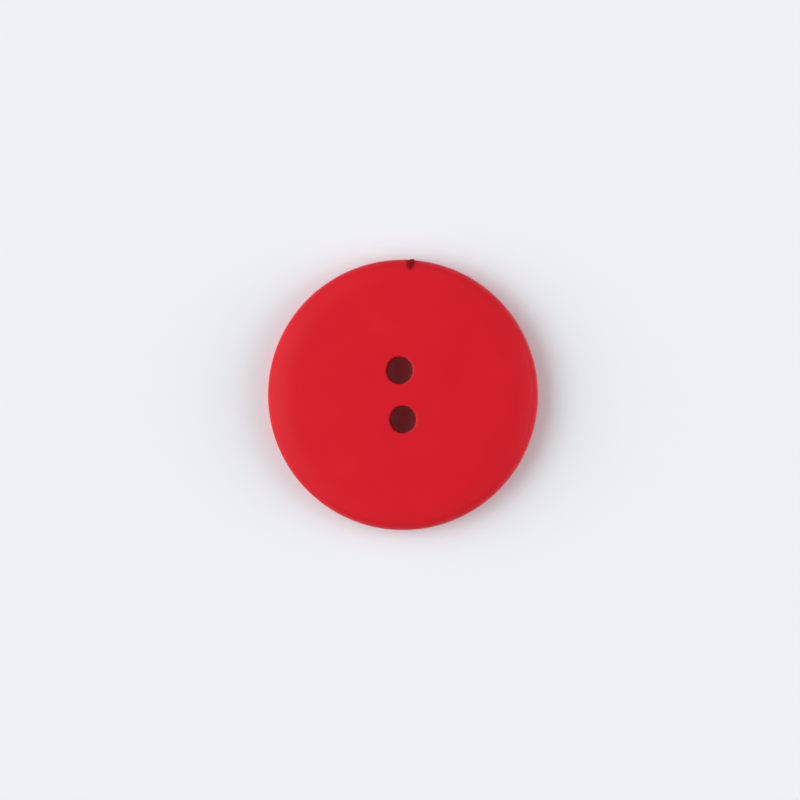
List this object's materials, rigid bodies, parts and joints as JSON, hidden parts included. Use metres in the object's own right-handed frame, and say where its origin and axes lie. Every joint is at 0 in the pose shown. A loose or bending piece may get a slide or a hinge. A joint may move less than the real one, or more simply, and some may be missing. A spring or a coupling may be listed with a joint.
{
  "type": "sewing button",
  "caption": "Round red plastic sewing button: gently domed face that falls to a rounded edge, flat bevelled back and a pair of thread holes in line across the middle. Sewn to a garment, it fastens a buttonhole.",
  "frame": {"origin": "centre of the flat back, which lies on the surface that the button rests on", "axes": "+Z out of the domed face, +Y along the line of the thread holes, towards the side with the gate scar"},
  "size_m": [0.0254, 0.0254, 0.0036],
  "materials": {
    "red_plastic": "satin"
  },
  "bodies": {
    "root": {"button": "red_plastic"}
  },
  "joints": []
}
